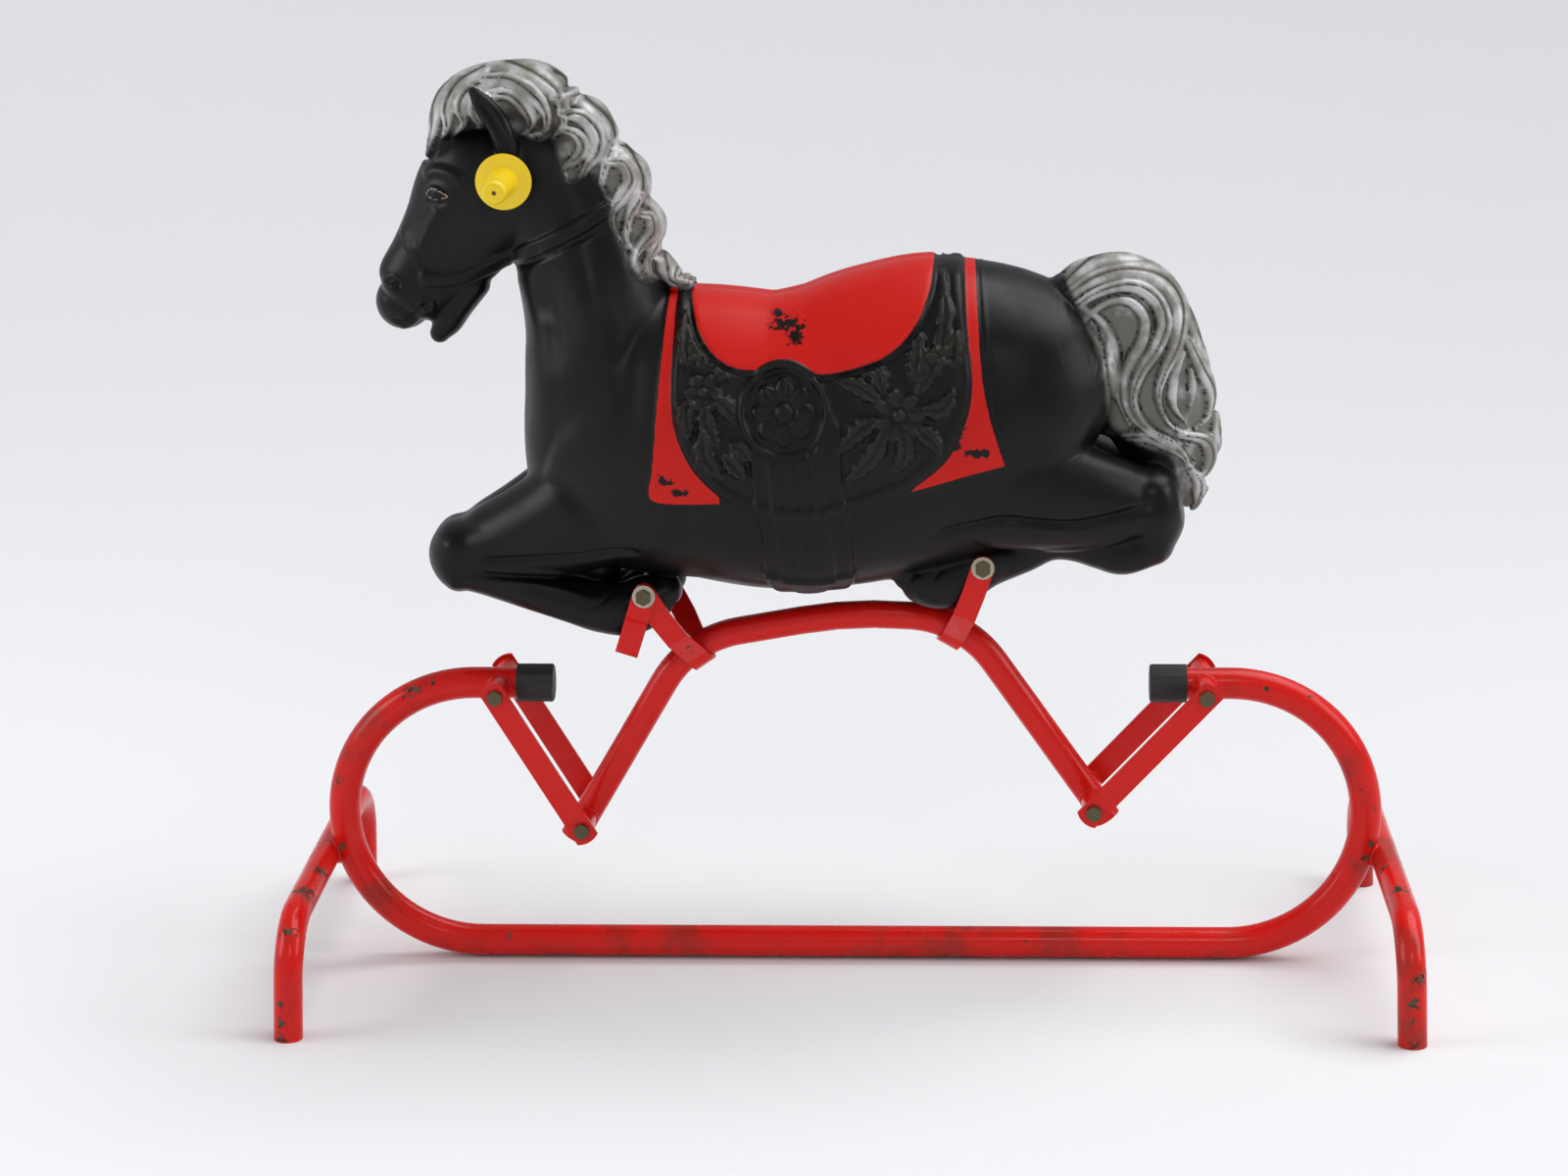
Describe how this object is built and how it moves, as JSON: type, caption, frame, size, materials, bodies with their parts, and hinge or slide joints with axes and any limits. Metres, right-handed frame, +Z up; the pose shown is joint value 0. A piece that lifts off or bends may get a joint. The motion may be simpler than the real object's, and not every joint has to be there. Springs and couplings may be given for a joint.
{
  "type": "glider rocking horse",
  "caption": "Child's glider horse: moulded horse on a tubular swing frame, hung by flat links from a C-shaped tube base with crosswise leg arches.",
  "frame": {"origin": "on the floor, at the centre of the four feet", "axes": "+Z up, +X from the horse's head to its tail, +Y to the horse's right"},
  "size_m": [1.0014, 0.4414, 0.8256],
  "materials": {
    "red_paint": "glossy enamel, chipped",
    "horse_plastic": "satin moulded polyethylene, silver and red sprayed details",
    "black_rubber": "matte",
    "yellow_plastic": "semi-gloss",
    "nylon": "satin",
    "bolt_steel": "tarnished plating",
    "bare_steel": "plain drawn"
  },
  "bodies": {
    "base": {"base_loop_tube": "red_paint", "front_base_sleeve": "red_paint", "front_bumper_cap": "black_rubber", "front_leg_arch": "red_paint", "front_upper_bush_left": "nylon", "front_upper_bush_right": "nylon", "rear_base_sleeve": "red_paint", "rear_bumper_cap": "black_rubber", "rear_leg_arch": "red_paint", "rear_upper_bush_left": "nylon", "rear_upper_bush_right": "nylon"},
    "front_links": {"front_link_left": "red_paint", "front_link_right": "red_paint", "front_lower_bolt": "bolt_steel", "front_lower_nut": "bolt_steel", "front_upper_bolt": "bolt_steel", "front_upper_nut": "bolt_steel"},
    "rear_links": {"rear_link_left": "red_paint", "rear_link_right": "red_paint", "rear_lower_bolt": "bolt_steel", "rear_lower_bush_left": "nylon", "rear_lower_bush_right": "nylon", "rear_lower_nut": "bolt_steel", "rear_upper_bolt": "bolt_steel", "rear_upper_nut": "bolt_steel"},
    "swing": {"front_hoof_strap": "red_paint", "front_lower_bush_left": "nylon", "front_lower_bush_right": "nylon", "front_mount_bolt": "bolt_steel", "front_mount_nut": "bolt_steel", "front_mount_spacer": "bare_steel", "front_mount_strap": "red_paint", "front_mount_washer_left": "nylon", "front_mount_washer_right": "nylon", "front_swing_sleeve": "red_paint", "handle_rod": "bare_steel", "horse_shell": "horse_plastic", "left_grip": "yellow_plastic", "rear_mount_bolt": "bolt_steel", "rear_mount_nut": "bolt_steel", "rear_mount_spacer": "bare_steel", "rear_mount_strap": "red_paint", "rear_mount_washer_left": "nylon", "rear_mount_washer_right": "nylon", "rear_swing_sleeve": "red_paint", "right_grip": "yellow_plastic", "swing_frame_tube": "red_paint"}
  },
  "joints": [
    {"name": "front_link_swing", "type": "hinge", "parent": "base", "child": "front_links", "pos_m": [-0.318, 0, 0.2635], "axis": [0, 1, 0], "range_deg": [-12, 6.5]},
    {"name": "seat_swing", "type": "hinge", "parent": "front_links", "child": "swing", "pos_m": [-0.24302, 0, 0.13822], "axis": [0, 1, 0], "range_deg": [-10, 17]},
    {"name": "rear_link_swing", "type": "hinge", "parent": "base", "child": "rear_links", "pos_m": [0.318, 0, 0.2635], "axis": [0, 1, 0], "range_deg": [-14, 8]}
  ],
  "couplings": [
    {"joint": "seat_swing", "follows": "front_link_swing", "ratio": -1.3975},
    {"joint": "rear_link_swing", "follows": "front_link_swing", "ratio": 1.1194}
  ]
}
